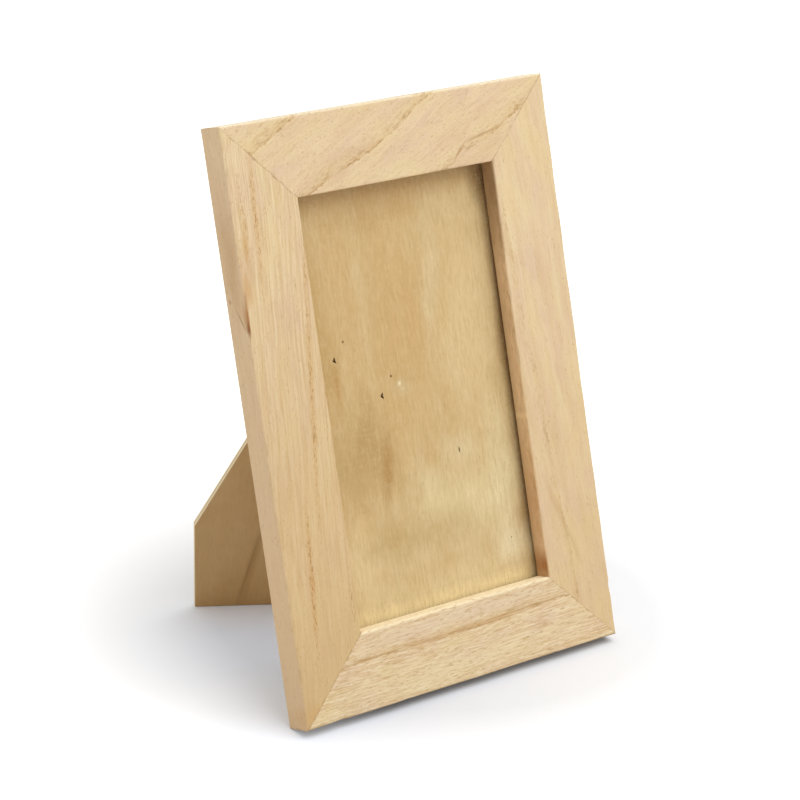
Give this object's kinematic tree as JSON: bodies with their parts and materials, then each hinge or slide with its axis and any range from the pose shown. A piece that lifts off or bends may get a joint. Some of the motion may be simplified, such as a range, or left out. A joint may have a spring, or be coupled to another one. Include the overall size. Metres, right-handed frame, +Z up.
{
  "type": "photo frame",
  "caption": "Free-standing wooden photo frame: flat mitred rails round a glazed rebate, a plywood back held by turn buttons, and a skew-hinged easel leg that folds flat.",
  "frame": {"origin": "on the table, under the middle of the bounding box: half the width, and halfway from the front bottom edge to the back of the foot", "axes": "+Z up, -Y towards the viewer of the picture, +X to the viewer's right; the frame leans back towards +Y"},
  "size_m": [0.157, 0.1218, 0.2228],
  "materials": {
    "rail_wood": "raw pale sawn and sanded wood",
    "plywood": "raw thin plywood",
    "pane_glass": "clear",
    "nail_steel": "plain dull steel",
    "hinge_steel": "zinc plated",
    "screw_steel": "zinc plated",
    "button_brass": "brass plated"
  },
  "bodies": {
    "frame": {"top_rail": "rail_wood", "bottom_rail": "rail_wood", "left_stile": "rail_wood", "right_stile": "rail_wood", "corner_nails": "nail_steel", "glazing_pane": "pane_glass", "backing_board": "plywood", "hinge_board_leaf": "hinge_steel", "hinge_pin": "hinge_steel", "board_rivets": "nail_steel", "turn_button_screws": "screw_steel"},
    "leg": {"easel_leg": "plywood", "hinge_leg_leaf": "hinge_steel", "leg_rivets": "nail_steel"},
    "button_top": {"turn_button_top": "button_brass"},
    "button_bottom": {"turn_button_bottom": "button_brass"},
    "button_left": {"turn_button_left": "button_brass"},
    "button_right": {"turn_button_right": "button_brass"}
  },
  "joints": [
    {"name": "leg_fold", "type": "hinge", "parent": "frame", "child": "leg", "pos_m": [-0.0162, -0.00654, 0.12968], "axis": [0.766, -0.1933, -0.613], "range_deg": [-45, 0]},
    {"name": "button_top_turn", "type": "hinge", "parent": "frame", "child": "button_top", "pos_m": [0, 0.01493, 0.20457], "axis": [0, 0.9537, -0.3007], "continuous": true},
    {"name": "button_bottom_turn", "type": "hinge", "parent": "frame", "child": "button_bottom", "pos_m": [0, -0.04491, 0.01478], "axis": [0, 0.9537, -0.3007], "continuous": true},
    {"name": "button_left_turn", "type": "hinge", "parent": "frame", "child": "button_left", "pos_m": [-0.063, -0.00462, 0.14258], "axis": [0, 0.9537, -0.3007], "continuous": true},
    {"name": "button_right_turn", "type": "hinge", "parent": "frame", "child": "button_right", "pos_m": [0.063, -0.00462, 0.14258], "axis": [0, 0.9537, -0.3007], "continuous": true}
  ]
}
